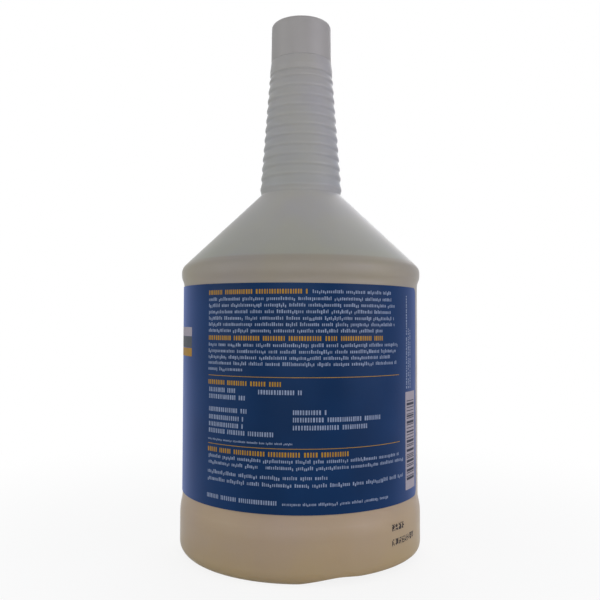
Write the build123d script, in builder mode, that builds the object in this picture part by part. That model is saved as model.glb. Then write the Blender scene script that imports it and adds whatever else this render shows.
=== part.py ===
from build123d import *
import os
from math import cos, radians, sin, tan

# One-quart round oil bottle with a long ribbed neck, a screw cap and a wrap-round label.
# Millimetres. +Z is up, the origin is the centre of the standing ring, and -Y faces the photograph.

# Moulded body
base_radius = 51.8
panel_recess = 1.0
bead_overhang = 0.1
heel_radius = 5.5
base_band_height = 19.0
base_step_height = 4.5
panel_height = 89.7
bead_step_height = 2.9
bead_height = 3.9
shoulder_angle = 43.8
shoulder_corner_radius = 4.5
body_wall = 0.85

# Standing ring and the flat recess inside it
push_up = 3.0
recess_wall_width = 2.9
ring_width = 2.9
pinch_off_width = 1.2
pinch_off_height = 0.5

# Shallow scallop moulded into the heel
scallop_angle = 22.0
scallop_depth = 2.9
scallop_width = 42.0
scallop_reach = 10.5

# Ribbed neck: each ring flares downwards to its edge, and is undercut below it
root_groove_depth = 0.8
neck_root_depth = 4.0
root_groove_height = 1.9
ring_count = 12
bottom_ring_radius = 18.0
bottom_ring_height = 4.9
ring_pitch = 4.32
top_ring_height = 3.2
ring_step = 0.5
ring_undercut = 0.7
neck_wall = 1.5

# Collar under the cap, and the threaded mouth
collar_step = 0.35
collar_land = 2.2
collar_taper = 0.5
collar_taper_height = 3.5
finish_radius = 10.8
finish_height = 15.0
mouth_wall = 2.05

# Screw cap and its liner
cap_gap = 0.4
thread_space = 1.45
cap_edge_radius = 1.7
cap_wall = 1.1
cap_top_wall = 1.5
liner_thickness = 0.9
liner_clearance = 0.3

# Film label
label_thickness = 0.2
label_glue = 0.05
label_bottom_margin = 2.6
label_top_margin = 1.25
label_end_angle = 69.5
label_gap_angle = 20.0
label_corner_radius = 3.0
label_skew = 0.4

# Oil
oil_above_shoulder_edge = 2.6
oil_clearance = 0.1

# Radii worked out from the sizes above. The cap clears the mouth's thread and is flush with the collar.
panel_radius = base_radius - panel_recess
bead_radius = base_radius + bead_overhang
standing_radius = base_radius - heel_radius
ring_inner_radius = standing_radius - ring_width
recess_radius = ring_inner_radius - recess_wall_width
mouth_radius = finish_radius - mouth_wall
cap_bore_radius = finish_radius + thread_space
cap_radius = cap_bore_radius + cap_wall
collar_top_radius = cap_radius
collar_radius = collar_top_radius + collar_taper
top_ring_radius = collar_radius + collar_step
collar_bore_radius = top_ring_radius - ring_step - neck_wall
neck_root_radius = bottom_ring_radius - root_groove_depth
root_bore_radius = neck_root_radius - neck_wall

# Heights worked out from the sizes above
panel_bottom = base_band_height + base_step_height
panel_top = panel_bottom + panel_height
bead_bottom = panel_top + bead_step_height
shoulder_edge = bead_bottom + bead_height
shoulder_slope = tan(radians(shoulder_angle))
shoulder_tip = shoulder_edge + bead_radius * shoulder_slope
neck_root = shoulder_tip - neck_root_radius * shoulder_slope
neck_foot = neck_root - neck_root_depth
first_ring = neck_root + root_groove_height
last_ring = first_ring + bottom_ring_height + ring_pitch * (ring_count - 2)
collar_bottom = last_ring + top_ring_height
ledge = collar_bottom + collar_land + collar_taper_height
mouth = ledge + finish_height
cap_bottom = ledge + cap_gap
cap_roof = mouth + liner_thickness
cap_top = cap_roof + cap_top_wall
oil_level = shoulder_edge + oil_above_shoulder_edge

# The label keeps clear of the panel's two ends, though its top edge is a little skew
label_radius = panel_radius + label_glue
label_bottom = panel_bottom + label_bottom_margin
label_top = panel_top - label_top_margin - panel_radius * tan(radians(label_skew))

# Rounded corners are cut in flats that touch their arc. A flat leaves a new corner at each of its ends.
heel_turn = 90.0
shoulder_turn = 90.0 - shoulder_angle


def flat_length(radius, turn):
    """How far back from a corner the one flat starts that touches an arc of the radius."""
    return radius * (tan(radians(turn / 2)) - tan(radians(turn / 4)))


heel_flat = flat_length(heel_radius, heel_turn)
heel_corner_flat = flat_length(heel_radius, heel_turn / 2)
shoulder_flat = flat_length(shoulder_corner_radius, shoulder_turn)
cap_edge_flat = flat_length(cap_edge_radius, 90.0)


def ring_edges():
    """Radius and height of each ring's lower edge, from the bottom up."""
    taper = (bottom_ring_radius - top_ring_radius) / (ring_count - 1)
    edges = [(bottom_ring_radius, first_ring)]
    for i in range(1, ring_count):
        edges.append((bottom_ring_radius - taper * i, first_ring + bottom_ring_height + ring_pitch * (i - 1)))
    return edges


def body_corners():
    """Corners of the body's half section, with the shoulder run on up to its tip on the axis."""
    return [
        (0, push_up),
        (recess_radius, push_up),
        (ring_inner_radius, 0),
        (base_radius, 0),
        (base_radius, base_band_height),
        (panel_radius, panel_bottom),
        (panel_radius, panel_top),
        (bead_radius, bead_bottom),
        (bead_radius, shoulder_edge),
        (0, shoulder_tip),
    ]


def corner_at(section, radius, height):
    """The corner of a half section that lies at a radius and height."""
    return section.vertices().sort_by_distance((radius, height))[0]


def inside_section(inset):
    """Half section of the body's inside, brought in from the outside by the inset."""
    with BuildSketch(Plane.XZ) as section:
        with BuildLine():
            Polyline(*body_corners(), close=True)
        make_face()
        chamfer(corner_at(section, base_radius, 0), heel_flat + heel_corner_flat)
        chamfer(corner_at(section, bead_radius, shoulder_edge), shoulder_flat)
        mirror(about=Plane.YZ)
        offset(amount=-inset, kind=Kind.INTERSECTION)
        split(bisect_by=Plane.YZ)
    return section.sketch


def scallop_cutter(inset):
    """A large round bar under the heel. It leaves a shallow scallop of the stated depth and width.

    The inside takes the same bar, larger all round by the wall.
    """
    bar_radius = (scallop_width**2 / 4 + scallop_depth**2) / (2 * scallop_depth)
    outward = Vector(sin(radians(scallop_angle)), -cos(radians(scallop_angle)), 0)
    centre = outward * base_radius + Vector(0, 0, scallop_depth - bar_radius)
    bar = Cylinder(bar_radius + inset, 2 * (scallop_reach + inset), mode=Mode.PRIVATE)
    return Plane(origin=centre, z_dir=outward) * bar


with BuildSketch(Plane.XZ) as body_section:
    with BuildLine():
        Polyline(*body_corners(), close=True)
    make_face()
    chamfer(corner_at(body_section, base_radius, 0), heel_flat)
    heel_corners = [
        corner_at(body_section, base_radius - heel_flat, 0),
        corner_at(body_section, base_radius, heel_flat),
    ]
    chamfer(heel_corners, heel_corner_flat)
    chamfer(corner_at(body_section, bead_radius, shoulder_edge), shoulder_flat)

with BuildSketch(Plane.XZ) as neck_section:
    with BuildLine():
        steps = [(0, neck_foot), (neck_root_radius, neck_foot)]
        steps.append((neck_root_radius, first_ring - ring_undercut))
        edges = ring_edges() + [(collar_radius, collar_bottom)]
        for (radius, height), (next_radius, next_height) in zip(edges, edges[1:]):
            steps.append((radius, height))
            steps.append((next_radius - ring_step, next_height - ring_undercut))
        steps.append((collar_radius, collar_bottom))
        steps.append((collar_radius, collar_bottom + collar_land))
        steps.append((collar_top_radius, ledge))
        steps.append((finish_radius, ledge))
        steps.append((finish_radius, mouth))
        steps.append((0, mouth))
        Polyline(*steps, close=True)
    make_face()

with BuildSketch(Plane.XZ) as bore_section:
    with BuildLine():
        Polyline(
            (0, neck_foot),
            (root_bore_radius, neck_foot),
            (root_bore_radius, neck_root),
            (collar_bore_radius, collar_bottom),
            (mouth_radius, ledge),
            (mouth_radius, mouth),
            (0, mouth),
            close=True,
        )
    make_face()

# The body's inside follows its outside, and the neck's bore joins it
with BuildPart() as body_hollow:
    revolve(inside_section(body_wall), axis=Axis.Z)
    add(scallop_cutter(body_wall), mode=Mode.SUBTRACT)

with BuildPart() as bottle:
    revolve(body_section.sketch, axis=Axis.Z)
    add(scallop_cutter(0), mode=Mode.SUBTRACT)
    revolve(neck_section.sketch, axis=Axis.Z)
    add(body_hollow.part, mode=Mode.SUBTRACT)
    revolve(bore_section.sketch, axis=Axis.Z, mode=Mode.SUBTRACT)
    # The seam that the mould pinches across the recess in the base
    with BuildSketch(Plane.XY.offset(push_up - pinch_off_height)):
        Rectangle(2 * recess_radius, pinch_off_width)
    extrude(amount=pinch_off_height + body_wall / 2)
bottle.part.label = "bottle"

with BuildPart() as cap:
    with BuildSketch(Plane.XZ) as cap_section:
        with BuildLine():
            Polyline(
                (0, cap_top),
                (cap_radius, cap_top),
                (cap_radius, cap_bottom),
                (cap_bore_radius, cap_bottom),
                (cap_bore_radius, cap_roof),
                (0, cap_roof),
                close=True,
            )
        make_face()
        chamfer(corner_at(cap_section, cap_radius, cap_top), cap_edge_flat)
    revolve(axis=Axis.Z)
cap.part.label = "cap"

with BuildPart() as cap_liner:
    with BuildSketch(Plane.XY.offset(mouth)):
        Circle(cap_bore_radius - liner_clearance)
    extrude(amount=liner_thickness)
cap_liner.part.label = "cap_liner"

# The label starts past its gap, which lies to the right as seen in the photograph
gap_end = radians(label_end_angle + label_gap_angle - 90)
label_start = Plane((0, 0, 0), x_dir=(cos(gap_end), sin(gap_end), 0), z_dir=(sin(gap_end), -cos(gap_end), 0))
with BuildPart() as label:
    with BuildSketch(label_start):
        with BuildLine():
            Polyline(
                (label_radius, label_bottom),
                (label_radius + label_thickness, label_bottom),
                (label_radius + label_thickness, panel_top),
                (label_radius, panel_top),
                close=True,
            )
        make_face()
    revolve(axis=Axis.Z, revolution_arc=360 - label_gap_angle)
    split(bisect_by=Plane((0, 0, label_top)).rotated((0, label_skew, 0)), keep=Keep.BOTTOM)
    corners = label.edges().filter_by(GeomType.LINE).filter_by(lambda edge: edge.length < 2 * label_thickness)
    fillet(corners, label_corner_radius)
label.part.label = "label"

# The oil stands on the recess and fills the body up to its level, as a column as wide as the label panel
with BuildPart() as motor_oil:
    revolve(inside_section(body_wall + oil_clearance), axis=Axis.Z)
    with BuildSketch(Plane.XY.offset(push_up + body_wall + oil_clearance)):
        Circle(panel_radius - body_wall - oil_clearance)
    extrude(amount=oil_level - push_up - body_wall - oil_clearance, mode=Mode.INTERSECT)
motor_oil.part.label = "motor_oil"

os.makedirs("parts", exist_ok=True)
export_step(bottle.part, "parts/bottle.step")
export_step(cap.part, "parts/cap.step")
export_step(cap_liner.part, "parts/cap_liner.step")
export_step(label.part, "parts/label.step")
export_step(motor_oil.part, "parts/motor_oil.step")

print("height", round(cap_top, 2), "widest", round(2 * bead_radius, 2))
for piece in (bottle, cap, cap_liner, label, motor_oil):
    box = piece.part.bounding_box()
    print(piece.part.label, "volume", round(piece.part.volume / 1000, 2), "cm3", "height", round(box.max.Z, 2))
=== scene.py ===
import math
import random

import bmesh
import bpy
from mathutils import Matrix, Vector


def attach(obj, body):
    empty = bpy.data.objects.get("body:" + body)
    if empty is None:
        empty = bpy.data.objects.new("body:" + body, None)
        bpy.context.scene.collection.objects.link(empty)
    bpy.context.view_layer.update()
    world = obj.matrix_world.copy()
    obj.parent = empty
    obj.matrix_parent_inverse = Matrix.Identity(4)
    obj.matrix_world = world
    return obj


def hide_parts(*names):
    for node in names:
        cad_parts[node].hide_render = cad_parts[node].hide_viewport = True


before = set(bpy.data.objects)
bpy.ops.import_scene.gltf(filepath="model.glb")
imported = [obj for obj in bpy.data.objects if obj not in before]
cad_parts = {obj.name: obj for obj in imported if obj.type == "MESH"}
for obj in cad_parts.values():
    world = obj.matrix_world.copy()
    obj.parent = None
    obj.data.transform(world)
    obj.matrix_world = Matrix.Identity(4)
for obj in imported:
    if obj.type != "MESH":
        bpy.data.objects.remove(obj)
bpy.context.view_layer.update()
mm = 0.001  # lengths below are in millimetres and angles in degrees, unless a note says otherwise
print("frame loaded:", sorted(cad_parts))


def linearColour(hexText):
    # The linear colour that nodes take, from a hex text in sRGB
    channels = [int(hexText[i:i + 2], 16) / 255 for i in (1, 3, 5)]
    linear = [c / 12.92 if c <= 0.04045 else ((c + 0.055) / 1.055) ** 2.4 for c in channels]
    return (*linear, 1.0)


def addNode(tree, kind, links=None, **settings):
    node = tree.nodes.new(kind)
    for name, value in settings.items():
        setattr(node, name, value)
    for socket, value in (links or {}).items():
        if isinstance(value, bpy.types.NodeSocket):
            tree.links.new(value, node.inputs[socket])
        else:
            node.inputs[socket].default_value = value
    return node


def compute(tree, operation, a, b=0.0):
    return addNode(tree, "ShaderNodeMath", {0: a, 1: b}, operation=operation).outputs[0]


def newObject(name, mesh):
    piece = bpy.data.objects.new(name, mesh)
    bpy.context.scene.collection.objects.link(piece)
    return piece


# Camera: on the bottle's axis, a little below mid height and tipped up two degrees
shot = {
    "lens": 42.17, "sensor": 36.0, "near": 10, "place": (-0.28, -311.0, 96.1), "tipUp": 1.99, "roll": 0.15,
}

camera = newObject("camera", bpy.data.cameras.new("camera"))
camera.data.lens = shot["lens"]
camera.data.sensor_width = shot["sensor"]
camera.data.clip_start = shot["near"] * mm
camera.matrix_world = (
    Matrix.Translation(Vector(shot["place"]) * mm)
    @ Matrix.Rotation(math.radians(90 + shot["tipUp"]), 4, "X")
    @ Matrix.Rotation(math.radians(shot["roll"]), 4, "Z")
)
bpy.context.scene.camera = camera

# Points closer than these are made one: as a tree grows a mesh, as it is sealed, and across a tiny face
joins = {"grown": 0.002, "sealed": 0.003, "speck": 0.0005}


# Geometry Nodes trees
def newTree(name, sockets):
    tree = bpy.data.node_groups.new(name, "GeometryNodeTree")
    tree.interface.new_socket("Geometry", in_out="INPUT", socket_type="NodeSocketGeometry")
    for label, kind in sockets.items():
        tree.interface.new_socket(label, in_out="INPUT", socket_type="NodeSocket" + kind)
    tree.interface.new_socket("Geometry", in_out="OUTPUT", socket_type="NodeSocketGeometry")
    return tree, tree.nodes.new("NodeGroupInput").outputs


def endTree(tree, geometry, material):
    whole = addNode(tree, "GeometryNodeRealizeInstances", {"Geometry": geometry})
    merged = addNode(tree, "GeometryNodeMergeByDistance", {
        "Geometry": whole.outputs[0], "Distance": joins["grown"] * mm,
    })
    smooth = addNode(tree, "GeometryNodeSetShadeSmooth", {"Geometry": merged.outputs[0]})
    painted = addNode(tree, "GeometryNodeSetMaterial", {
        "Geometry": smooth.outputs[0], "Material": material,
    })
    addNode(tree, "NodeGroupOutput", {0: painted.outputs[0]})


def sweepSection(tree, section, steps, sweep):
    # A grid with a row for each point of the section, and a column for each step of the sweep
    size = addNode(tree, "GeometryNodeAttributeDomainSize", {"Geometry": section})
    columns = compute(tree, "ADD", steps, 1.0)
    grid = addNode(tree, "GeometryNodeMeshGrid", {
        "Vertices X": size.outputs["Point Count"], "Vertices Y": columns,
    })
    index = addNode(tree, "GeometryNodeInputIndex").outputs[0]
    # The half keeps rounding from putting a point in the row before its own
    row = compute(tree, "FLOOR", compute(tree, "DIVIDE", compute(tree, "ADD", index, 0.5), columns))
    column = compute(tree, "SUBTRACT", index, compute(tree, "MULTIPLY", row, columns))
    place = addNode(tree, "GeometryNodeInputPosition").outputs[0]
    point = addNode(
        tree, "GeometryNodeSampleIndex", {"Geometry": section, "Index": row}, data_type="FLOAT_VECTOR",
    )
    tree.links.new(place, point.inputs["Value"])
    xyz = addNode(tree, "ShaderNodeSeparateXYZ", {0: point.outputs[0]}).outputs
    angle = compute(tree, "DIVIDE", compute(tree, "MULTIPLY", sweep, column), steps)
    return grid.outputs["Mesh"], xyz["X"], xyz["Z"], angle


def placeRound(tree, grid, radius, height, angle):
    x = compute(tree, "MULTIPLY", radius, compute(tree, "COSINE", angle))
    y = compute(tree, "MULTIPLY", radius, compute(tree, "SINE", angle))
    spot = addNode(tree, "ShaderNodeCombineXYZ", {"X": x, "Y": y, "Z": height})
    moved = addNode(tree, "GeometryNodeSetPosition", {"Geometry": grid, "Position": spot.outputs[0]})
    return moved.outputs[0]


def turnedTree():
    # Any half section, turned once round the axis
    tree, given = newTree("turned section", {"Steps": "Int", "Material": "Material"})
    grid, radius, height, angle = sweepSection(tree, given["Geometry"], given["Steps"], 2 * math.pi)
    endTree(tree, placeRound(tree, grid, radius, height, angle), given["Material"])
    return tree


def ringedTree():
    # One ring's section, repeated up the neck with a taper, then turned. The end rings differ in height
    tree, given = newTree("ringed neck", {
        "Ring Count": "Int", "Pitch": "Float", "First Height": "Float", "Bottom Radius": "Float",
        "Top Radius": "Float", "Bottom Stretch": "Float", "Top Stretch": "Float", "Steps": "Int",
        "Material": "Material",
    })
    points = addNode(tree, "GeometryNodeMeshLine", {"Count": given["Ring Count"], "Offset": (0, 0, 0)})
    index = addNode(tree, "GeometryNodeInputIndex").outputs[0]
    last = compute(tree, "SUBTRACT", given["Ring Count"], 1.0)
    isFirst = compute(tree, "LESS_THAN", index, 0.5)
    isLast = compute(tree, "GREATER_THAN", index, compute(tree, "SUBTRACT", last, 0.5))
    taper = compute(tree, "SUBTRACT", given["Top Radius"], given["Bottom Radius"])
    change = compute(tree, "MULTIPLY", taper, compute(tree, "DIVIDE", index, last))
    ringRadius = compute(tree, "ADD", given["Bottom Radius"], change)
    bottomExtra = compute(tree, "SUBTRACT", given["Bottom Stretch"], 1.0)
    topExtra = compute(tree, "SUBTRACT", given["Top Stretch"], 1.0)
    # The rings above the first stand higher by as much as it is stretched
    raised = compute(tree, "MULTIPLY", compute(tree, "SUBTRACT", 1.0, isFirst), bottomExtra)
    rise = compute(tree, "MULTIPLY", given["Pitch"], compute(tree, "ADD", index, raised))
    ringHeight = compute(tree, "ADD", given["First Height"], rise)
    firstExtra = compute(tree, "MULTIPLY", isFirst, bottomExtra)
    lastExtra = compute(tree, "MULTIPLY", isLast, topExtra)
    stretch = compute(tree, "ADD", 1.0, compute(tree, "ADD", firstExtra, lastExtra))
    spot = addNode(tree, "ShaderNodeCombineXYZ", {"X": ringRadius, "Z": ringHeight}).outputs[0]
    scale = addNode(tree, "ShaderNodeCombineXYZ", {"X": 1.0, "Y": 1.0, "Z": stretch}).outputs[0]
    placed = addNode(tree, "GeometryNodeSetPosition", {"Geometry": points.outputs[0], "Position": spot})
    rings = addNode(tree, "GeometryNodeInstanceOnPoints", {
        "Points": placed.outputs[0], "Instance": given["Geometry"], "Scale": scale,
    })
    section = addNode(tree, "GeometryNodeRealizeInstances", {"Geometry": rings.outputs[0]}).outputs[0]
    grid, radius, height, angle = sweepSection(tree, section, given["Steps"], 2 * math.pi)
    endTree(tree, placeRound(tree, grid, radius, height, angle), given["Material"])
    return tree


def threadTree():
    # A closed section on the wall, swept up a helix. Both ends sink into the wall in a rounded nose
    tree, given = newTree("screw thread", {
        "Wall Radius": "Float", "Start Height": "Float", "Lead": "Float", "Sweep": "Float",
        "Fade": "Float", "Steps": "Int", "Material": "Material",
    })
    grid, depth, along, angle = sweepSection(tree, given["Geometry"], given["Steps"], given["Sweep"])
    toEnd = compute(tree, "MINIMUM", angle, compute(tree, "SUBTRACT", given["Sweep"], angle))
    nearness = compute(tree, "MINIMUM", compute(tree, "DIVIDE", toEnd, given["Fade"]), 1.0)
    fade = compute(tree, "POWER", nearness, 0.5)
    radius = compute(tree, "ADD", given["Wall Radius"], compute(tree, "MULTIPLY", depth, fade))
    turns = compute(tree, "DIVIDE", angle, 2 * math.pi)
    middle = compute(tree, "ADD", given["Start Height"], compute(tree, "MULTIPLY", given["Lead"], turns))
    height = compute(tree, "ADD", middle, compute(tree, "MULTIPLY", along, fade))
    endTree(tree, placeRound(tree, grid, radius, height, angle), given["Material"])
    return tree


def printTree():
    # One small block for each point of a flat layout, wrapped round the bottle
    tree, given = newTree("wrapped print", {
        "Surface Radius": "Float", "Ink Thickness": "Float", "Material": "Material",
    })
    # A third row of points across each block lets a wide one bend
    block = addNode(tree, "GeometryNodeMeshCube", {
        "Size": (1, 1, 1), "Vertices X": 3, "Vertices Y": 2, "Vertices Z": 2,
    })
    width, height = (
        addNode(tree, "GeometryNodeInputNamedAttribute", {"Name": name}, data_type="FLOAT").outputs[0]
        for name in ("markWidth", "markHeight")
    )
    scale = addNode(tree, "ShaderNodeCombineXYZ", {"X": width, "Y": height, "Z": given["Ink Thickness"]})
    marks = addNode(tree, "GeometryNodeInstanceOnPoints", {
        "Points": given["Geometry"], "Instance": block.outputs["Mesh"], "Scale": scale.outputs[0],
    })
    flat = addNode(tree, "GeometryNodeRealizeInstances", {"Geometry": marks.outputs[0]}).outputs[0]
    place = addNode(tree, "GeometryNodeInputPosition").outputs[0]
    xyz = addNode(tree, "ShaderNodeSeparateXYZ", {0: place}).outputs
    radius = compute(tree, "ADD", given["Surface Radius"], xyz["Z"])
    right = compute(tree, "DIVIDE", xyz["X"], given["Surface Radius"])
    angle = compute(tree, "SUBTRACT", right, math.pi / 2)
    wrapped = placeRound(tree, flat, radius, xyz["Y"], angle)
    painted = addNode(tree, "GeometryNodeSetMaterial", {
        "Geometry": wrapped, "Material": given["Material"],
    })
    addNode(tree, "NodeGroupOutput", {0: painted.outputs[0]})
    return tree


def growPiece(piece, tree, values):
    modifier = piece.modifiers.new(tree.name, "NODES")
    modifier.node_group = tree
    for item in tree.interface.items_tree:
        if item.in_out == "INPUT" and item.name in values:
            modifier[item.identifier] = values[item.name]
    bpy.context.view_layer.update()
    grown = piece.evaluated_get(bpy.context.evaluated_depsgraph_get())
    mesh = bpy.data.meshes.new_from_object(grown)
    mesh.name = piece.name
    piece.modifiers.clear()
    piece.data = mesh
    return piece


def sectionObject(name, points):
    mesh = bpy.data.meshes.new(name)
    edges = [(i, i + 1) for i in range(len(points) - 1)]
    mesh.from_pydata([(r * mm, 0, z * mm) for r, z in points], edges, [])
    return newObject(name, mesh)


# How corners are rounded: degrees of arc in a step, the fewest steps, the share of an edge that two arcs
# may take, and how far past an arc its support point stands
rounding = {"bend": 9.0, "fewest": 2, "edgeShare": 0.9, "support": 0.35, "supportShare": 0.05}


def cornerReaches(spots, blends):
    # How far along its two edges each corner's arc starts. Two arcs on one edge share its length
    reaches = [0.0] * len(spots)
    for i in range(1, len(spots) - 1):
        turn = math.pi - (spots[i - 1] - spots[i]).angle(spots[i + 1] - spots[i])
        reaches[i] = blends[i] * math.tan(turn / 2)
    for i in range(len(spots) - 1):
        room = rounding["edgeShare"] * (spots[i + 1] - spots[i]).length
        asked = reaches[i] + reaches[i + 1]
        if asked > room:
            reaches[i] *= room / asked
            reaches[i + 1] *= room / asked
    return reaches


def supportReach(edge):
    return min(rounding["support"], rounding["supportShare"] * edge.length)


def softSection(corners, bend=rounding["bend"]):
    # Rounds each corner (radius, height, blend). Support points beside the arcs keep smooth shading true
    spots = [Vector(corner[:2]) for corner in corners]
    reaches = cornerReaches(spots, [corner[2] for corner in corners])
    points = []
    for i, here in enumerate(spots):
        if reaches[i] == 0:
            points.append(tuple(here))
            continue
        back = (spots[i - 1] - here).normalized()
        ahead = (spots[i + 1] - here).normalized()
        turn = math.pi - back.angle(ahead)
        start = here + back * reaches[i]
        end = here + ahead * reaches[i]
        arcRadius = reaches[i] / math.tan(turn / 2)
        centre = here + (back + ahead).normalized() * (arcRadius / math.cos(turn / 2))
        arm = start - centre
        side = 1 if arm.cross(end - centre) > 0 else -1
        count = max(rounding["fewest"], math.ceil(math.degrees(turn) / bend))
        points.append(tuple(start + back * supportReach(spots[i - 1] - here)))
        for k in range(count + 1):
            points.append(tuple(centre + Matrix.Rotation(side * turn * k / count, 2) @ arm))
        points.append(tuple(end + ahead * supportReach(spots[i + 1] - here)))
    return points


def sealMesh(piece, sharpFrom=40):
    # Closes a mesh's seams and poles and turns its faces outwards. Edges past sharpFrom stay crisp
    made = bmesh.new()
    made.from_mesh(piece.data)
    bmesh.ops.remove_doubles(made, verts=made.verts, dist=joins["sealed"] * mm)
    bmesh.ops.dissolve_degenerate(made, edges=made.edges, dist=joins["speck"] * mm)
    bmesh.ops.recalc_face_normals(made, faces=made.faces)
    openEdges = sum(1 for edge in made.edges if not edge.is_manifold)
    made.to_mesh(piece.data)
    made.free()
    piece.data.shade_smooth()
    piece.data.set_sharp_from_angle(angle=math.radians(sharpFrom))
    print(f"  {piece.name}: {len(piece.data.polygons)} faces, {openEdges} open edges")
    return piece


def barObject(name, rows, material):
    # A closed bar through rows of four corners each
    made = bmesh.new()
    rings = [[made.verts.new(corner) for corner in row] for row in rows]
    for a, b in zip(rings, rings[1:]):
        for i in range(4):
            made.faces.new((a[i], a[(i + 1) % 4], b[(i + 1) % 4], b[i]))
    made.faces.new(rings[0])
    made.faces.new(rings[-1])
    mesh = bpy.data.meshes.new(name)
    made.to_mesh(mesh)
    made.free()
    mesh.materials.append(material)
    return newObject(name, mesh)


turned, ringed, threaded, printed = turnedTree(), ringedTree(), threadTree(), printTree()
print("node trees ready")


# Materials. Each is named for what the real one is made of
def newMaterial(name, roughness, ior, **settings):
    material = bpy.data.materials.new(name)
    material.use_nodes = True
    shader = material.node_tree.nodes["Principled BSDF"]
    shader.inputs["Roughness"].default_value = roughness
    shader.inputs["IOR"].default_value = ior
    for socket, value in settings.items():
        shader.inputs[socket.replace("_", " ")].default_value = value
    place = addNode(material.node_tree, "ShaderNodeTexCoord").outputs["Object"]
    return material, material.node_tree, shader, place


def addGrain(tree, shader, place, grainMm, depth, strength):
    # Surface texture: noise with bumps of a real size, kept shallow
    grain = addNode(tree, "ShaderNodeTexNoise", {
        "Vector": place, "Scale": 1 / (grainMm * mm), "Detail": 3.0,
    })
    bump = addNode(tree, "ShaderNodeBump", {
        "Height": grain.outputs[0], "Distance": depth * mm, "Strength": strength,
    })
    tree.links.new(bump.outputs[0], shader.inputs["Normal"])


def mottle(tree, place, colour, sizeMm, low, high):
    # A slow wander of the colour between two tints: the shares of red, green and blue that are kept
    noise = addNode(tree, "ShaderNodeTexNoise", {
        "Vector": place, "Scale": 1 / (sizeMm * mm), "Detail": 2.0,
    })
    usualLow, usualHigh = (0.35,) * 3, (0.65,) * 3
    # Sockets 7 to 10 are this node's limits for vectors: from low and high, to low and high
    tint = addNode(tree, "ShaderNodeMapRange", {
        "Vector": noise.outputs["Fac"], 7: usualLow, 8: usualHigh, 9: low, 10: high,
    }, data_type="FLOAT_VECTOR")
    product = addNode(
        tree, "ShaderNodeVectorMath", {0: colour, 1: tint.outputs["Vector"]}, operation="MULTIPLY",
    )
    return product.outputs[0]


def stopsRamp(tree, factor, stops):
    ramp = addNode(tree, "ShaderNodeValToRGB", {0: factor})
    elements = ramp.color_ramp.elements
    while len(elements) < len(stops):
        elements.new(0.5)
    for element, (position, colour) in zip(elements, stops):
        element.position = position
        element.color = linearColour(colour)
    return ramp.outputs[0]


def naturalPolyethylene():
    # Blow-moulded natural HDPE: waxy and cloudy, so the oil behind the wall shows as a browner tone. The top
    # of the shoulder is painted lighter: painted light from above on that upward slope
    tones = {
        "height": 229.6,
        "stops": [
            # Stops are (height, colour). The pale stop at 151, where the shoulder meets the neck, is painted
            # light on the up-facing slope, not a tone of the plastic
            (0, "#A08C66"), (12, "#A28E72"), (24, "#A38F78"), (100, "#978C7E"), (122.3, "#8B8579"),
            (122.9, "#929289"), (151, "#9E9C98"), (156, "#959697"), (200, "#989798"), (212, "#989694"),
        ],
        "wanderMm": 34, "cool": (0.97, 0.97, 1.04), "warm": (1.03, 1.02, 0.95),
        "grainMm": 0.6, "grainDepth": 0.03, "grainStrength": 0.35,
    }
    material, tree, shader, place = newMaterial(
        "naturalPolyethylene", roughness=0.45, ior=1.54, Subsurface_Weight=0.8,
        Subsurface_Radius=(1.0, 0.9, 0.75), Subsurface_Scale=1.6 * mm, Sheen_Weight=0.5,
        Sheen_Roughness=0.25,
    )
    height = addNode(tree, "ShaderNodeSeparateXYZ", {0: place}).outputs["Z"]
    share = compute(tree, "DIVIDE", height, tones["height"] * mm)
    colour = stopsRamp(tree, share, [(z / tones["height"], c) for z, c in tones["stops"]])
    toned = mottle(tree, place, colour, tones["wanderMm"], tones["cool"], tones["warm"])
    tree.links.new(toned, shader.inputs["Base Color"])
    addGrain(tree, shader, place, tones["grainMm"], tones["grainDepth"], tones["grainStrength"])
    return material


def plainMaterial(name, hexText, roughness, ior, wanderMm, wander, grainMm, grainDepth, **settings):
    material, tree, shader, place = newMaterial(name, roughness, ior, **settings)
    colour = addNode(tree, "ShaderNodeRGB")
    colour.outputs[0].default_value = linearColour(hexText)
    toned = mottle(tree, place, colour.outputs[0], wanderMm, (1 - wander,) * 3, (1 + wander,) * 3)
    tree.links.new(toned, shader.inputs["Base Color"])
    addGrain(tree, shader, place, grainMm, grainDepth, strength=0.3)
    return material


polyethylene = naturalPolyethylene()
# Injection-moulded polypropylene, smoother than the blown bottle
polypropylene = plainMaterial(
    "mouldedPolypropylene", "#93908E", roughness=0.42, ior=1.49, wanderMm=14, wander=0.03, grainMm=0.35,
    grainDepth=0.015, Subsurface_Weight=0.3, Subsurface_Radius=(1.0, 0.95, 0.85), Subsurface_Scale=3 * mm,
)
# Closed-cell foam with a sealing face: off-white, dull and finely pitted
foamLiner = plainMaterial(
    "foamedPolyethylene", "#DCDAD2", roughness=0.5, ior=1.5, wanderMm=6, wander=0.03, grainMm=0.4,
    grainDepth=0.04,
)
# Fresh oil: clear amber with a glossy, level surface
motorOil = plainMaterial(
    "motorOil", "#A8701C", roughness=0.05, ior=1.48, wanderMm=40, wander=0.02, grainMm=30, grainDepth=0.01,
)
# Printed polypropylene film: a flood coat of blue under a thin matt varnish, so it mirrors little
blueFilm = plainMaterial(
    "bluePrintedFilm", "#06284C", roughness=0.3, ior=1.5, wanderMm=26, wander=0.12, grainMm=2.5,
    grainDepth=0.01, Specular_IOR_Level=0.08, Sheen_Weight=0.62, Sheen_Roughness=0.45,
    Sheen_Tint=linearColour("#8AA6FF"),
)
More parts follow.
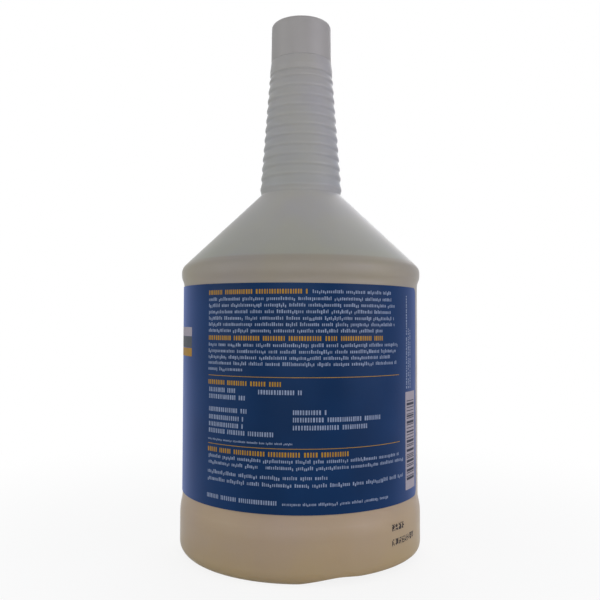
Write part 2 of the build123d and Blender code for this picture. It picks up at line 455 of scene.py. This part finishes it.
# Printing inks: dry and flat, each with a slight unevenness of its own
inkLook = {"roughness": 0.45, "ior": 1.5, "grainMm": 0.3, "grainDepth": 0.004, "Specular_IOR_Level": 0.2}
paleInk = plainMaterial("palePrintingInk", "#7B87A0", wanderMm=1.2, wander=0.15, **inkLook)
amberInk = plainMaterial("amberPrintingInk", "#9B7319", wanderMm=4, wander=0.06, **inkLook)
greyInk = plainMaterial("greyPrintingInk", "#45494E", wanderMm=4, wander=0.06, **inkLook)
whiteInk = plainMaterial("whitePrintingInk", "#968F98", wanderMm=3, wander=0.04, **inkLook)
darkInk = plainMaterial("darkPrintingInk", "#23263A", wanderMm=1.5, wander=0.08, **inkLook)
codingInk = plainMaterial("inkJetCodingInk", "#28242C", wanderMm=0.8, wander=0.2, **inkLook)
print("materials ready")


# Bottle: lower body, ringed neck, then collar, mouth and the inside, turned and joined into one shell.
# Its corners are (radius, height, blend), a ring's are measured from the ring's own foot, and the gap in its
# foot is (angle round the bottle, height)
bottle = {
    "steps": 216, "wall": 0.85, "sharpFrom": 60,
    "body": [
        (0, 3.0, 0), (40.5, 3.0, 1.5), (43.4, 0, 0.8), (51.8, 0, 5.0), (51.8, 19.0, 18), (50.8, 23.5, 18),
        (50.8, 113.2, 6), (51.9, 116.1, 6), (51.9, 120.0, 4.5), (17.5, 153.0, 0.9),
    ],
    "ring": [(-0.2, -0.45, 0), (0, 0, 0.6), (0, 0.7, 0.9), (-0.8, 3.35, 1.2), (-0.5455, 3.87, 0)],
    "ringBend": 13, "ringCount": 12, "pitch": 4.32, "firstRing": 155.177, "bottomRadius": 18.0,
    "topRadius": 14.2, "bottomRingHeight": 4.9, "topRingHeight": 3.2,
    "mouth": [
        (13.85, 206.477, 0.2), (13.85, 208.677, 1.5), (13.34, 212.54, 0.04), (10.8, 212.54, 0.5),
        (10.8, 227.177, 0.5), (8.75, 227.177, 0.5), (8.75, 212.2, 3),
    ],
    "inside": [
        (12.2, 206.5, 3), (15.7, 153.5, 2), (49.68, 120.95, 1), (51.05, 117.85, 1), (51.05, 116.2, 1),
        (49.95, 113.3, 1), (49.95, 23.4, 1), (50.95, 18.93, 1), (50.95, 4.76, 1), (47.04, 0.85, 1),
        (43.74, 0.85, 0.5), (40.85, 3.85, 0.5), (0, 3.85, 0),
    ],
    "footGap": [(-5, 0), (17.5, 2.9), (28, 2.35), (89, 2.45), (111, 0)],
    "gapBlend": 0.9, "gapFrom": 39.5, "gapFade": 1.5,
}
bottomStretch = bottle["bottomRingHeight"] / bottle["pitch"]
topStretch = bottle["topRingHeight"] / bottle["pitch"]
ringPoints = softSection(bottle["ring"], bottle["ringBend"])[:-1]
lastRing = bottle["firstRing"] + bottle["bottomRingHeight"] + bottle["pitch"] * (bottle["ringCount"] - 2)
footRadius, footHeight = ringPoints[0]
endRadius, endHeight = ringPoints[-1]
neckStart = (bottle["bottomRadius"] + footRadius, bottle["firstRing"] + footHeight * bottomStretch, 0)
neckEnd = (bottle["topRadius"] + endRadius, lastRing + endHeight * topStretch, 0)


def gapHeight(angle):
    # Height of the gap in the foot, by the angle round the bottle, eased between its stops
    stops = bottle["footGap"]
    for (start, low), (end, high) in zip(stops, stops[1:]):
        if start <= angle < end:
            share = (angle - start) / (end - start)
            return low + (high - low) * share * share * (3 - 2 * share)
    return 0


def liftFoot(piece, lift):
    # The ring that the bottle stands on has a wide shallow gap at one side. Its edge is eased by the blend
    for vertex in piece.data.vertices:
        spot = Vector(vertex.co[:2]) / mm
        rise = gapHeight(math.degrees(math.atan2(spot.x, -spot.y)))
        inside = min(max((spot.length - bottle["gapFrom"]) / bottle["gapFade"], 0), 1)
        if rise == 0 or inside == 0:
            continue
        ground = rise + lift
        blend = bottle["gapBlend"] * min(rise, 1)
        z = vertex.co.z / mm
        mix = max(blend - abs(z - ground), 0) / blend
        pressed = max(z, ground) + mix * mix * blend / 4
        vertex.co.z = (z + (pressed - z) * inside) * mm


def makeBottle():
    turn = {"Steps": bottle["steps"], "Material": polyethylene}
    lowerCorners = [*bottle["body"], neckStart]
    upperCorners = [neckEnd, *bottle["mouth"], *bottle["inside"]]
    lower = growPiece(sectionObject("lowerBody", softSection(lowerCorners)), turned, turn)
    upper = growPiece(sectionObject("upperBody", softSection(upperCorners)), turned, turn)
    neck = growPiece(sectionObject("neckRings", ringPoints), ringed, {
        "Ring Count": bottle["ringCount"], "Pitch": bottle["pitch"] * mm,
        "First Height": bottle["firstRing"] * mm, "Bottom Radius": bottle["bottomRadius"] * mm,
        "Top Radius": bottle["topRadius"] * mm, "Bottom Stretch": bottomStretch,
        "Top Stretch": topStretch, **turn,
    })
    liftFoot(lower, 0)
    liftFoot(upper, bottle["wall"])
    whole = bmesh.new()
    for part in (lower, neck, upper):
        whole.from_mesh(part.data)
        bpy.data.objects.remove(part)
    mesh = bpy.data.meshes.new("bottleShell")
    whole.to_mesh(mesh)
    whole.free()
    mesh.materials.append(polyethylene)
    return sealMesh(newObject("bottleShell", mesh), bottle["sharpFrom"])


bottleShell = makeBottle()
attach(bottleShell, "bottle")
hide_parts("bottle")

# The seam that the mould pinches across the recess in the base, fading out at both ends. Its crest hangs
# down at (distance along, height)
seam = {
    "footHalf": 0.6, "crestHalf": 0.36, "foot": 3.2,
    "crest": [(-40.4, 2.9), (-35.4, 2.5), (35.4, 2.5), (40.4, 2.9)],
}


def seamRow(x, crest):
    corners = [
        (-seam["footHalf"], seam["foot"]), (-seam["crestHalf"], crest), (seam["crestHalf"], crest),
        (seam["footHalf"], seam["foot"]),
    ]
    return [(x * mm, y * mm, z * mm) for y, z in corners]


seamRows = [seamRow(x, crest) for x, crest in seam["crest"]]
pinchSeam = sealMesh(barObject("pinchSeam", seamRows, polyethylene))
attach(pinchSeam, "bottle")
print("bottle made")


# Screw thread: 24 mm finish, right-handed, one and a half turns on the mouth and as many in the cap
thread = {
    "lead": 3.175, "turns": 1.5, "steps": 150, "fade": 25.0, "mouthWall": 10.8, "capWall": 12.25,
    "mouthStart": 220.4, "crest": 1.05, "footHalf": 1.15, "crestHalf": 0.4, "sunk": 0.25, "sharpFrom": 50,
}


def makeThread(name, wall, start, direction, material):
    # direction is 1 for a thread outside the wall, and -1 for one inside it
    foot, top = -direction * thread["sunk"], direction * thread["crest"]
    section = [
        (foot, -thread["footHalf"]), (top, -thread["crestHalf"]), (top, thread["crestHalf"]),
        (foot, thread["footHalf"]), (foot, -thread["footHalf"]),
    ]
    piece = growPiece(sectionObject(name, section), threaded, {
        "Wall Radius": wall * mm, "Start Height": start * mm, "Lead": thread["lead"] * mm,
        "Sweep": thread["turns"] * 2 * math.pi, "Fade": math.radians(thread["fade"]),
        "Steps": thread["steps"], "Material": material,
    })
    return sealMesh(piece, thread["sharpFrom"])


mouthThread = makeThread("mouthThread", thread["mouthWall"], thread["mouthStart"], 1, polyethylene)
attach(mouthThread, "bottle")

# Cap: plain smooth skirt, softly rounded top with a small gate mark at its centre
cap = {
    "corners": [
        (0, 229.38, 0), (0.9, 229.38, 0.15), (1.2, 229.56, 0.15), (13.15, 229.56, 1.7),
        (13.35, 212.58, 0.12), (12.25, 212.58, 0.25), (12.25, 228.08, 0.4), (0, 228.08, 0),
    ],
    "steps": 144, "sharpFrom": 60,
}
capShell = growPiece(sectionObject("capShell", softSection(cap["corners"])), turned, {
    "Steps": cap["steps"], "Material": polypropylene,
})
sealMesh(capShell, cap["sharpFrom"])
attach(capShell, "cap")
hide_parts("cap")

# The cap's thread runs in the groove of the mouth's, half a lead below it
capStart = thread["mouthStart"] - thread["lead"] / 2
capThread = makeThread("capThread", thread["capWall"], capStart, -1, polypropylene)
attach(capThread, "cap")
print("cap and threads made")


# Label: film wrapped round the panel, and flat layouts wrapped onto it. Its top edge is askew
label = {
    "radius": 51.05, "thickness": 0.2, "endAngle": 69.5, "gapAngle": 20.0, "bottom": 26.1, "top": 111.595,
    "skew": 0.4, "corner": 3.0, "cornerSteps": 8, "stepAngle": 2.0, "leastHalf": 0.02, "sharpFrom": 30,
}


def arcLength(degrees):
    return math.radians(degrees) * label["radius"]


def wrapPlate(name, columns, inner, outer, material):
    # A thin curved plate from its columns: (length along the arc, low height, high height)
    rows = []
    for along, low, high in columns:
        angle = along / label["radius"]
        across = Vector((math.sin(angle), -math.cos(angle), 0))
        corners = [(outer, low), (outer, high), (inner, high), (inner, low)]
        rows.append([(across * r + Vector((0, 0, z))) * mm for r, z in corners])
    return sealMesh(barObject(name, rows, material), label["sharpFrom"])


def roundedColumns(left, right, low, high, corner, tilt=0.0):
    # A rounded rectangle on the arc, cut into columns. Tilt lowers its top edge at the bottle's right side
    steps = label["cornerSteps"]
    stops = [corner * (1 - math.cos(math.radians(90 * k / steps))) for k in range(steps + 1)]
    span = right - left - 2 * corner
    count = max(1, math.ceil(span / arcLength(label["stepAngle"])))
    middle = [left + corner + span * k / count for k in range(1, count)]
    columns = []
    for along in [left + s for s in stops] + middle + [right - s for s in reversed(stops)]:
        nearEnd = min(along - left, right - along)
        cut = 0.0
        if nearEnd < corner:
            cut = corner - math.sqrt(max(corner ** 2 - (corner - nearEnd) ** 2, 0))
        cut = min(cut, (high - low) / 2 - label["leastHalf"])
        drop = tilt * math.sin(along / label["radius"])
        columns.append((along, low + cut, high - cut - drop))
    return columns


filmTilt = label["radius"] * math.tan(math.radians(label["skew"]))
filmColumns = roundedColumns(
    arcLength(label["endAngle"] + label["gapAngle"] - 360), arcLength(label["endAngle"]),
    label["bottom"], label["top"], label["corner"], filmTilt,
)
filmInner = label["radius"] - label["thickness"]
labelFilm = wrapPlate("labelFilm", filmColumns, filmInner, label["radius"], blueFilm)
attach(labelFilm, "bottle")
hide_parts("label")

# Print. A row stands for a line of text: (from and to in degrees, height, height of its letters).
# Strokes and gaps are shares of that last height
layout = {
    "seed": 24, "ink": 0.05, "sunk": 0.02, "layer": 0.04, "stem": (0.2, 0.38), "stemGap": (0.2, 0.32),
    "boldStem": (0.24, 0.4), "boldGap": (0.2, 0.31), "boldFrom": 1.6, "wordGap": 0.62, "strokes": (5, 18),
    "tall": (0.72, 0.72, 0.72, 0.85, 1.0), "drop": 0.26, "dropShare": 0.12, "ruleCorner": 0.1,
    "amberRows": [
        (-44.5, 3.4, 108.4, 1.75), (-44.5, 39.0, 90.9, 1.75), (-44.5, -8.1, 73.9, 1.75),
        (-44.5, 20.8, 48.1, 1.75),
    ],
    "paleRows": [
        (5.0, 43.6, 108.4, 1.35), (-44.5, 44.5, 105.8, 1.35), (-44.5, 46.5, 103.4, 1.35),
        (-44.5, 43.6, 100.95, 1.35), (-44.5, 46.0, 98.5, 1.35), (-44.5, 46.5, 96.15, 1.35),
        (-44.5, 38.5, 93.8, 1.35), (-44.5, 48.5, 88.4, 1.35), (-44.5, 47.0, 86.0, 1.35),
        (-44.5, 43.5, 83.7, 1.35), (-44.5, 48.0, 81.4, 1.35), (-44.5, -25.0, 79.1, 1.35),
        (-44.0, -28.0, 71.0, 1.7), (-18.0, 0.6, 70.9, 1.7), (-44.0, -24.0, 68.4, 1.7),
        (-44.0, -22.6, 63.5, 1.7), (-44.0, -24.0, 60.5, 1.7), (-44.0, -24.0, 57.8, 1.7),
        (-44.0, -10.6, 55.3, 1.7), (-3.1, 11.9, 63.6, 1.7), (-3.1, 37.1, 60.9, 1.7),
        (-3.1, 31.0, 58.0, 1.7), (-44.5, -3.0, 52.1, 0.8), (-44.0, 49.3, 45.7, 1.35),
        (-44.0, -18.0, 43.3, 1.35), (-14.5, 52.7, 43.3, 1.35), (-44.5, 12.0, 39.7, 1.45),
        (-44.5, 52.7, 37.0, 1.45), (-45.0, -9.6, 30.3, 1.6), (-7.5, 41.4, 30.1, 1.1),
    ],
    "rules": [(-44.5, 49.5, 76.45, 0.22), (-44.5, 50.0, 50.25, 0.22)],
}


def textRow(marks, chance, row, bold):
    # Words of upright strokes: small print has strokes of uneven height, bold rows are even and closer
    start, end, height, letter = row
    along, limit = arcLength(start), arcLength(end)
    stem = layout["boldStem"] if bold else layout["stem"]
    gap = layout["boldGap"] if bold else layout["stemGap"]
    while along < limit:
        for _ in range(chance.randint(*layout["strokes"])):
            wide = letter * chance.uniform(*stem)
            if along + wide > limit:
                return
            tall = letter * (1 if bold else chance.choice(layout["tall"]))
            hangs = 0 if bold or chance.random() > layout["dropShare"] else layout["drop"] * letter
            marks.append((along + wide / 2, height + (tall - letter) / 2 - hangs, wide, tall))
            along += wide + letter * chance.uniform(*gap)
        along += letter * layout["wordGap"]


def printMarks(name, marks, radius, material):
    # Marks are (length along the arc, height, width, tallness)
    mesh = bpy.data.meshes.new(name)
    mesh.from_pydata([(along * mm, height * mm, 0) for along, height, _, _ in marks], [], [])
    for attribute, column in (("markWidth", 2), ("markHeight", 3)):
        values = mesh.attributes.new(attribute, "FLOAT", "POINT")
        values.data.foreach_set("value", [mark[column] * mm for mark in marks])
    piece = growPiece(newObject(name, mesh), printed, {
        "Surface Radius": radius * mm, "Ink Thickness": layout["ink"] * mm, "Material": material,
    })
    sealMesh(piece, label["sharpFrom"])
    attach(piece, "bottle")


def printPlate(name, columns, layer, material):
    outer = label["radius"] + layout["ink"] / 2 + layout["layer"] * layer
    piece = wrapPlate(name, columns, label["radius"] - layout["sunk"], outer, material)
    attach(piece, "bottle")


chance = random.Random(layout["seed"])
paleMarks, amberMarks, darkMarks, dotMarks = [], [], [], []
for row in layout["paleRows"]:
    textRow(paleMarks, chance, row, row[3] >= layout["boldFrom"])
for row in layout["amberRows"]:
    textRow(amberMarks, chance, row, True)
for number, (start, end, height, thick) in enumerate(layout["rules"]):
    low, high = height - thick / 2, height + thick / 2
    columns = roundedColumns(arcLength(start), arcLength(end), low, high, layout["ruleCorner"])
    printPlate(f"amberRule{number + 1}", columns, 0, amberInk)

# Stock code panel beside the label's end: bars of random width, with no digits. Each bar is laid in parts,
# with a hair's cut between them, so that it bends with the label
bars = {
    "left": 55.2, "right": 66.4, "low": 30.2, "high": 69.2, "corner": 0.4, "inset": 1.1, "barLow": 34.0,
    "barHigh": 65.5, "widths": (0.33, 0.33, 0.66, 0.99), "parts": 4, "cut": 0.02, "lift": 0.03,
}
panelLeft, panelRight = arcLength(bars["left"]), arcLength(bars["right"])
panelColumns = roundedColumns(panelLeft, panelRight, bars["low"], bars["high"], bars["corner"])
printPlate("codePanel", panelColumns, 0, whiteInk)
barMiddle = (panelLeft + panelRight) / 2
partLength = (panelRight - panelLeft - 2 * bars["inset"]) / bars["parts"]
rise = bars["barLow"]
while rise < bars["barHigh"]:
    thick = chance.choice(bars["widths"])
    for part in range(bars["parts"]):
        along = barMiddle + partLength * (part - (bars["parts"] - 1) / 2)
        darkMarks.append((along, rise + thick / 2, partLength - bars["cut"], thick))
    rise += thick + chance.choice(bars["widths"])

# Fine print that runs up the label beside the panel: (angle, top) of each line
sidePrint = {
    "lines": [(56.4, 108.0), (58.4, 95.0), (60.4, 95.0)], "from": 71.0, "stroke": (0.5, 1.0),
    "width": 0.75, "gap": 0.3, "wordGap": 0.9, "gapShare": 0.8,
}
for angle, top in sidePrint["lines"]:
    rise = sidePrint["from"]
    while rise < top:
        stroke = chance.uniform(*sidePrint["stroke"])
        paleMarks.append((arcLength(angle), rise, sidePrint["width"], stroke))
        sameWord = chance.random() < sidePrint["gapShare"]
        rise += stroke + (sidePrint["gap"] if sameWord else sidePrint["wordGap"])
print("back of label laid out")

# Front of the label: plain bands, a roundel with an oil drop, rows of print
front = {
    "middle": -158.0, "edge": 98.4, "bandCorner": 0.3,
    "bands": [(91.2, 94.9, "pale"), (86.7, 91.1, "grey"), (83.0, 86.4, "amber")],
    "discRadius": 19.0, "discHeight": 86.0, "discSteps": 36, "ringWidth": 2.2, "dropRadius": 6.2,
    "dropHeight": 82.5, "dropTip": 14.5, "dropSteps": 40, "tipPower": 1.1, "tipFoot": 0.2,
    "amberRows": [(-24, 24, 59.0, 4.2)],
    "paleRows": [(-19, 19, 52.6, 2.4), (-30, 30, 46.5, 1.6), (-26, 26, 43.4, 1.6), (-14, 14, 33.5, 1.8)],
}
inks = {"pale": whiteInk, "grey": greyInk, "amber": amberInk}


def roundSpots(count):
    # Places across a disc of radius 1, closer together at its two sides
    return [-math.cos(math.pi * k / count) for k in range(count + 1)]


def discColumns(middle, height, radius):
    columns = []
    for s in roundSpots(front["discSteps"]):
        half = max(radius * math.sqrt(1 - s * s), label["leastHalf"])
        columns.append((middle + radius * s, height - half, height + half))
    return columns


def dropColumns(middle, height, radius, tip):
    # A round drop drawn up to a point
    columns = []
    for s in roundSpots(front["dropSteps"]):
        low = max(radius * math.sqrt(1 - s * s), label["leastHalf"])
        high = max(low, tip * (1 - abs(s)) ** front["tipPower"] + low * front["tipFoot"])
        columns.append((middle + radius * s, height - low, height + high))
    return columns


middle, edge = arcLength(front["middle"]), arcLength(front["edge"])
for low, high, ink in front["bands"]:
    columns = roundedColumns(middle - edge, middle + edge, low, high, front["bandCorner"])
    printPlate(f"{ink}Band", columns, 0, inks[ink])
innerRadius = front["discRadius"] - front["ringWidth"]
drop = dropColumns(middle, front["dropHeight"], front["dropRadius"], front["dropTip"])
printPlate("paleDisc", discColumns(middle, front["discHeight"], front["discRadius"]), 1, whiteInk)
printPlate("blueDisc", discColumns(middle, front["discHeight"], innerRadius), 2, blueFilm)
printPlate("oilDrop", drop, 3, amberInk)
for rows, marks in ((front["amberRows"], amberMarks), (front["paleRows"], paleMarks)):
    for start, end, height, letter in rows:
        textRow(marks, chance, (front["middle"] + start, front["middle"] + end, height, letter), True)

printMarks("paleRows", paleMarks, label["radius"], paleInk)
printMarks("amberRows", amberMarks, label["radius"], amberInk)
printMarks("codeBars", darkMarks, label["radius"] + bars["lift"], darkInk)
print("label made")

# Two rows of ink-jet dots on the base, in clusters that spell nothing: (angle, height, clusters) of each
dots = {
    "radius": 51.8, "pitch": 0.42, "size": 0.36, "columns": 4, "rows": 6, "clusterStep": 2.1, "fill": 0.6,
    "lines": [(44.0, 16.8, 4), (44.0, 11.1, 8)],
}
for start, height, clusters in dots["lines"]:
    for cluster in range(clusters):
        for column in range(dots["columns"]):
            for row in range(dots["rows"]):
                if chance.random() < dots["fill"]:
                    along = arcLength(start) + cluster * dots["clusterStep"] + column * dots["pitch"]
                    dotMarks.append((along, height + row * dots["pitch"], dots["size"], dots["size"]))
printMarks("datingDots", dotMarks, dots["radius"], codingInk)

# Oil: it fills the inside up to its level, just clear of the wall
oil = {
    "corners": [
        (0, 3.9, 0), (40.8, 3.9, 0.5), (43.75, 0.9, 0.5), (47.0, 0.9, 1), (50.9, 4.8, 1), (50.9, 18.93, 1),
        (49.9, 23.4, 1), (49.9, 113.3, 1), (51.0, 116.2, 1), (51.0, 117.85, 1), (49.6, 120.95, 1),
        (47.6, 122.6, 0), (0, 122.6, 0),
    ],
    "clearance": 0.05,
}
oilBody = growPiece(sectionObject("oilBody", softSection(oil["corners"])), turned, {
    "Steps": bottle["steps"], "Material": motorOil,
})
liftFoot(oilBody, bottle["wall"] + oil["clearance"])
sealMesh(oilBody)
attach(oilBody, "bottle")
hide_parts("motor_oil")

# The liner keeps its CAD shape
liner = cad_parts["cap_liner"]
liner.data.materials.clear()
liner.data.materials.append(foamLiner)
print("liner and oil finished")


# Studio, in metres and watts: a pale floor, white surroundings for the camera, and soft lamps
studio = {
    "floorHalf": 3.0, "floorColour": "#E4E4E2", "floorRoughness": 0.8, "floorGloss": 0.1, "nearGlow": 0.86,
    "nearFrom": 0.07, "farFrom": 0.3, "worldStrength": 0.6, "worldColour": "#F2F4F8", "aim": (0, 0, 0.11),
    "lamps": [
        ("frontSoft", (-0.1, -1.25, 0.12), 1.0, 4.95, "#FFFFFF"),
        ("rightSoft", (0.95, -0.55, 0.3), 0.8, 5.0, "#F5F1FF"),
        ("leftSoft", (-0.95, -0.4, 0.3), 0.8, 2.45, "#FFFFFF"),
        ("rearSoft", (0.1, 0.95, 0.75), 0.8, 4.5, "#FFFFFF"),
    ],
}


def makeFloor():
    half = studio["floorHalf"]
    corners = [(-half, -half, 0), (half, -half, 0), (half, half, 0), (-half, half, 0)]
    mesh = bpy.data.meshes.new("floor")
    mesh.from_pydata(corners, [], [(0, 1, 2, 3)])
    material = bpy.data.materials.new("paleFloor")
    material.use_nodes = True
    tree = material.node_tree
    shader = tree.nodes["Principled BSDF"]
    shader.inputs["Base Color"].default_value = linearColour(studio["floorColour"])
    shader.inputs["Roughness"].default_value = studio["floorRoughness"]
    shader.inputs["Specular IOR Level"].default_value = studio["floorGloss"]
    # To the camera the floor turns white away from the bottle, and keeps its shadow close by
    rays = addNode(tree, "ShaderNodeLightPath").outputs
    glow = addNode(tree, "ShaderNodeEmission", {"Color": (1, 1, 1, 1), "Strength": 1.0})
    place = addNode(tree, "ShaderNodeTexCoord").outputs["Object"]
    away = addNode(tree, "ShaderNodeVectorMath", {0: place}, operation="LENGTH").outputs["Value"]
    white = addNode(tree, "ShaderNodeMapRange", {
        "Value": away, "From Min": studio["nearFrom"], "From Max": studio["farFrom"],
        "To Min": studio["nearGlow"], "To Max": 1.0,
    }, interpolation_type="SMOOTHSTEP").outputs[0]
    share = compute(tree, "MULTIPLY", rays["Is Camera Ray"], white)
    mix = addNode(tree, "ShaderNodeMixShader", {0: share, 1: shader.outputs[0], 2: glow.outputs[0]})
    tree.links.new(mix.outputs[0], tree.nodes["Material Output"].inputs[0])
    mesh.materials.append(material)
    return newObject("floor", mesh)


def makeWorld():
    # The camera sees pure white, while the light that reaches the bottle is softer
    world = bpy.data.worlds.new("studio")
    bpy.context.scene.world = world
    world.use_nodes = True
    tree = world.node_tree
    soft = tree.nodes["Background"]
    soft.inputs["Color"].default_value = linearColour(studio["worldColour"])
    soft.inputs["Strength"].default_value = studio["worldStrength"]
    white = addNode(tree, "ShaderNodeBackground", {"Color": (1, 1, 1, 1), "Strength": 1.0})
    rays = addNode(tree, "ShaderNodeLightPath").outputs
    seen = compute(tree, "MAXIMUM", rays["Is Camera Ray"], rays["Is Transmission Ray"])
    mix = addNode(tree, "ShaderNodeMixShader", {0: seen, 1: soft.outputs[0], 2: white.outputs[0]})
    tree.links.new(mix.outputs[0], tree.nodes["World Output"].inputs[0])


def addLamp(name, place, size, power, colour):
    lamp = newObject(name, bpy.data.lights.new(name, "AREA"))
    lamp.data.color = linearColour(colour)[:3]
    lamp.data.size = size
    lamp.data.energy = power
    lamp.location = place
    aim = Vector(studio["aim"]) - Vector(place)
    lamp.rotation_euler = aim.to_track_quat("-Z", "Y").to_euler()


floor = makeFloor()
makeWorld()
for lampValues in studio["lamps"]:
    addLamp(*lampValues)
bpy.context.scene.view_settings.view_transform = "Standard"
print("studio ready")
